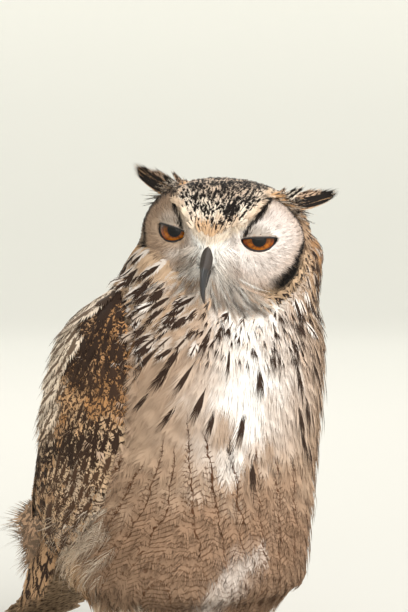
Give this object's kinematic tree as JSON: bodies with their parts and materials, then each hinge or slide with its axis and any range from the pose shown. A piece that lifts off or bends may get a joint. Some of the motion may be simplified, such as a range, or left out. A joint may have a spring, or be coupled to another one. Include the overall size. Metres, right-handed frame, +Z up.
{
  "type": "rock eagle-owl model",
  "caption": "Life-size standing rock eagle-owl with ear tufts, folded wings and a tail laid to the floor, its head turned over the right shoulder.",
  "frame": {"origin": "on the floor, in the middle of the owl's plan extents", "axes": "+Z up; the body faces -Y, the owl's left is +X and its tail runs towards +Y"},
  "size_m": [0.2264, 0.3232, 0.3761],
  "materials": {
    "buff_feather": "soft tan and white plumage with dark streaks",
    "dark_feather": "dark brown plumage mottled with buff",
    "pale_feather": "short pale buff plumage of legs and toes",
    "eye": "clear gloss over an orange iris and a black pupil",
    "horn": "polished blue-black horn"
  },
  "bodies": {
    "root": {"bill_lower": "horn", "bill_upper": "horn", "claw_left_hind": "horn", "claw_left_inner": "horn", "claw_left_middle": "horn", "claw_left_outer": "horn", "claw_right_hind": "horn", "claw_right_inner": "horn", "claw_right_middle": "horn", "claw_right_outer": "horn", "ear_tuft_left": "dark_feather", "ear_tuft_right": "dark_feather", "eye_left": "eye", "eye_right": "eye", "head": "buff_feather", "neck": "buff_feather", "shank_left": "pale_feather", "shank_right": "pale_feather", "tail": "buff_feather", "thigh_left": "pale_feather", "thigh_right": "pale_feather", "toe_left_hind": "pale_feather", "toe_left_inner": "pale_feather", "toe_left_middle": "pale_feather", "toe_left_outer": "pale_feather", "toe_right_hind": "pale_feather", "toe_right_inner": "pale_feather", "toe_right_middle": "pale_feather", "toe_right_outer": "pale_feather", "trunk": "buff_feather", "wing_left_coverts": "dark_feather", "wing_left_primaries": "dark_feather", "wing_left_secondaries": "dark_feather", "wing_right_coverts": "dark_feather", "wing_right_primaries": "dark_feather", "wing_right_secondaries": "dark_feather"}
  },
  "joints": []
}
